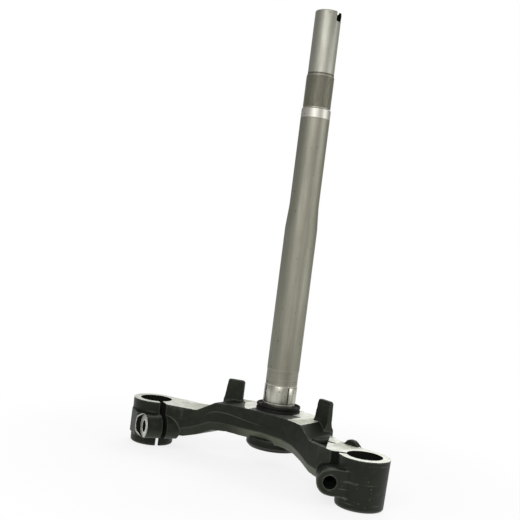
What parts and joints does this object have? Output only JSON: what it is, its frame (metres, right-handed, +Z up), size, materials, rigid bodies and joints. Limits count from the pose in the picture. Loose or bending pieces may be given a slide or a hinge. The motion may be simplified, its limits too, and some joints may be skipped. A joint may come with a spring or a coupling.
{
  "type": "motorcycle triple clamp",
  "caption": "Lower triple clamp of a small motorcycle: black cast yoke with split fork clamps, pressed-in hollow steel steering stem with thread and bearing seat, and a dust seal.",
  "frame": {"origin": "on the stem axis, at the middle of the lower bearing seat", "axes": "+Z up the steering stem, +X along the line of the two fork legs, -Y towards the front, where the fork legs stand"},
  "size_m": [0.273, 0.1009, 0.4234],
  "materials": {
    "cast_black": "satin black coat, bright machined tops",
    "steel": "drawn and turned steel",
    "seal_rubber": "matt"
  },
  "bodies": {
    "root": {"yoke": "cast_black", "steering_stem": "steel", "dust_seal": "seal_rubber"}
  },
  "joints": []
}
